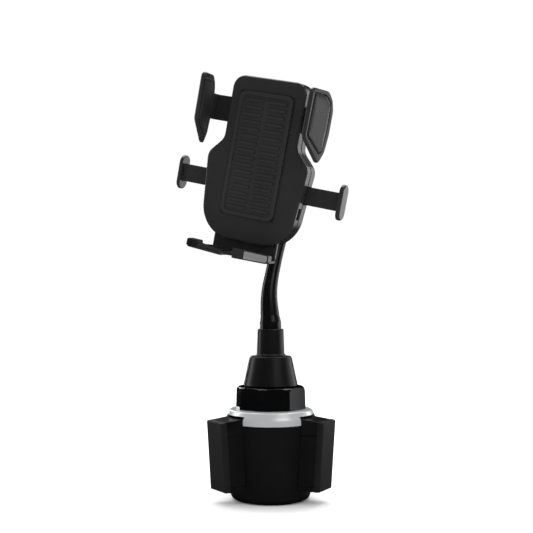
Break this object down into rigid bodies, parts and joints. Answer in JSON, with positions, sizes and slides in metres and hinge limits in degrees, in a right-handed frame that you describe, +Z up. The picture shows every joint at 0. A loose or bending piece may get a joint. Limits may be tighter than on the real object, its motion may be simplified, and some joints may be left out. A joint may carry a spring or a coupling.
{
  "type": "car phone mount",
  "caption": "Cup-holder phone mount: expanding finned base with a turning knob, bendable neck, ball-jointed cradle with squeeze-to-open arms and a sliding foot.",
  "frame": {"origin": "centre of the base's underside, on the rubber foot pad", "axes": "+Z up along the cup's axis; -Y is the side the phone faces; +X to the right seen from there"},
  "size_m": [0.1225, 0.1375, 0.3041],
  "materials": {
    "satin_black": "satin moulded plastic with a fine grain",
    "gloss_black": "glossy moulded plastic",
    "silver": "satin silver plated ring",
    "rubber_black": "matt soft rubber",
    "sleeve_rubber": "smooth semi-gloss rubber",
    "pad_grey": "light grey ribbed rubber",
    "steel": "plain machined steel",
    "gear_white": "natural acetal"
  },
  "bodies": {
    "base": {"cup_body": "satin_black", "trim_ring": "silver", "foot_pad": "rubber_black", "base_cover": "satin_black", "spindle": "steel", "thrust_washer": "steel", "spindle_nut": "steel", "neck_cone": "satin_black", "neck_collar": "gloss_black", "neck_core_0": "steel", "neck_sleeve_0": "sleeve_rubber"},
    "knob": {"adjust_knob": "gloss_black", "scroll_disc": "gear_white"},
    "fin_back": {"fin_carrier_back": "satin_black", "fin_pad_back": "rubber_black"},
    "fin_left": {"fin_carrier_left": "satin_black", "fin_pad_left": "rubber_black"},
    "fin_right": {"fin_carrier_right": "satin_black", "fin_pad_right": "rubber_black"},
    "neck_1": {"neck_core_1": "steel", "neck_sleeve_1": "sleeve_rubber"},
    "neck_2": {"neck_core_2": "steel", "neck_sleeve_2": "sleeve_rubber"},
    "neck_3": {"neck_core_3": "steel", "neck_sleeve_3": "sleeve_rubber"},
    "neck_top": {"neck_core_4": "steel", "neck_sleeve_4": "sleeve_rubber", "ball_stud": "steel", "end_ferrule": "satin_black"},
    "ball": {"pivot_ball": "steel"},
    "seat": {"ball_seat": "gear_white"},
    "cradle": {"back_shell": "satin_black", "front_shell": "satin_black", "face_pad": "rubber_black", "shell_screws": "steel", "return_spring": "steel"},
    "lock_nut": {"lock_nut": "satin_black"},
    "pinion": {"pinion": "gear_white"},
    "right_slider": {"right_arm": "satin_black", "right_arm_panel": "gloss_black", "right_arm_pad": "rubber_black", "left_lever": "satin_black"},
    "left_slider": {"left_arm": "satin_black", "left_arm_panel": "gloss_black", "left_arm_pad": "rubber_black", "right_lever": "satin_black"},
    "foot": {"foot_bracket": "satin_black", "foot_grip_left": "pad_grey", "foot_grip_right": "pad_grey"}
  },
  "joints": [
    {"name": "knob_turn", "type": "hinge", "parent": "base", "child": "knob", "pos_m": [0, 0, 0.074], "axis": [0, 0, 1], "range_deg": [0, 150]},
    {"name": "fin_back_slide", "type": "slide", "parent": "base", "child": "fin_back", "axis": [-0.0349, 0.9994, 0], "range_m": [-0.01452, 0]},
    {"name": "fin_left_slide", "type": "slide", "parent": "base", "child": "fin_left", "axis": [-0.848, -0.5299, 0], "range_m": [-0.01452, 0]},
    {"name": "fin_right_slide", "type": "slide", "parent": "base", "child": "fin_right", "axis": [0.8829, -0.4695, 0], "range_m": [-0.01452, 0]},
    {"name": "neck_bend_1", "type": "hinge", "parent": "base", "child": "neck_1", "pos_m": [-0.0011, 0.00115, 0.14791], "axis": [0.9983, -0.0075, -0.0571], "range_deg": [-18, 18]},
    {"name": "neck_bend_2", "type": "hinge", "parent": "neck_1", "child": "neck_2", "pos_m": [0.00186, 0.00496, 0.16833], "axis": [0, 0.9745, -0.2243], "range_deg": [-18, 18]},
    {"name": "neck_bend_3", "type": "hinge", "parent": "neck_2", "child": "neck_3", "pos_m": [0.00638, 0.0102, 0.18814], "axis": [0.9606, -0.0787, -0.2664], "range_deg": [-18, 18]},
    {"name": "neck_bend_4", "type": "hinge", "parent": "neck_3", "child": "neck_top", "pos_m": [0.01306, 0.01605, 0.20716], "axis": [0, 0.9557, -0.2944], "range_deg": [-18, 18]},
    {"name": "ball_spin", "type": "hinge", "parent": "neck_top", "child": "ball", "pos_m": [0.00198, -0.01961, 0.24356], "axis": [-0.4259, -0.9031, -0.0553], "range_deg": [-90, 90]},
    {"name": "ball_tilt", "type": "hinge", "parent": "ball", "child": "seat", "pos_m": [0.00198, -0.01961, 0.24356], "axis": [0.8871, -0.4048, -0.2217], "range_deg": [-16, 16]},
    {"name": "cradle_turn", "type": "hinge", "parent": "seat", "child": "cradle", "pos_m": [0.00198, -0.01961, 0.24356], "axis": [-0.4259, -0.9031, -0.0553], "continuous": true},
    {"name": "lock_nut_turn", "type": "hinge", "parent": "cradle", "child": "lock_nut", "pos_m": [0.00198, -0.01961, 0.24356], "axis": [-0.4259, -0.9031, -0.0553], "range_deg": [0, 180]},
    {"name": "arm_squeeze", "type": "slide", "parent": "cradle", "child": "right_slider", "axis": [0.8871, -0.4048, -0.2217], "range_m": [-0.008, 0.012]},
    {"name": "left_arm_slide", "type": "slide", "parent": "cradle", "child": "left_slider", "axis": [-0.8871, 0.4048, 0.2217], "range_m": [-0.00801, 0.01201]},
    {"name": "pinion_spin", "type": "hinge", "parent": "cradle", "child": "pinion", "pos_m": [-0.00697, -0.03857, 0.2424], "axis": [-0.4259, -0.9031, -0.0553], "range_deg": [-98.3, 65.6]},
    {"name": "foot_slide", "type": "slide", "parent": "cradle", "child": "foot", "axis": [-0.1778, 0.1435, -0.9735], "range_m": [0, 0.012]}
  ],
  "couplings": [
    {"joint": "fin_back_slide", "follows": "knob_turn", "m_per_rad": -0.0055386},
    {"joint": "fin_left_slide", "follows": "knob_turn", "m_per_rad": -0.0055386},
    {"joint": "fin_right_slide", "follows": "knob_turn", "m_per_rad": -0.0055386},
    {"joint": "left_arm_slide", "follows": "arm_squeeze", "ratio": 1},
    {"joint": "pinion_spin", "follows": "arm_squeeze", "rad_per_m": -142.86}
  ]
}
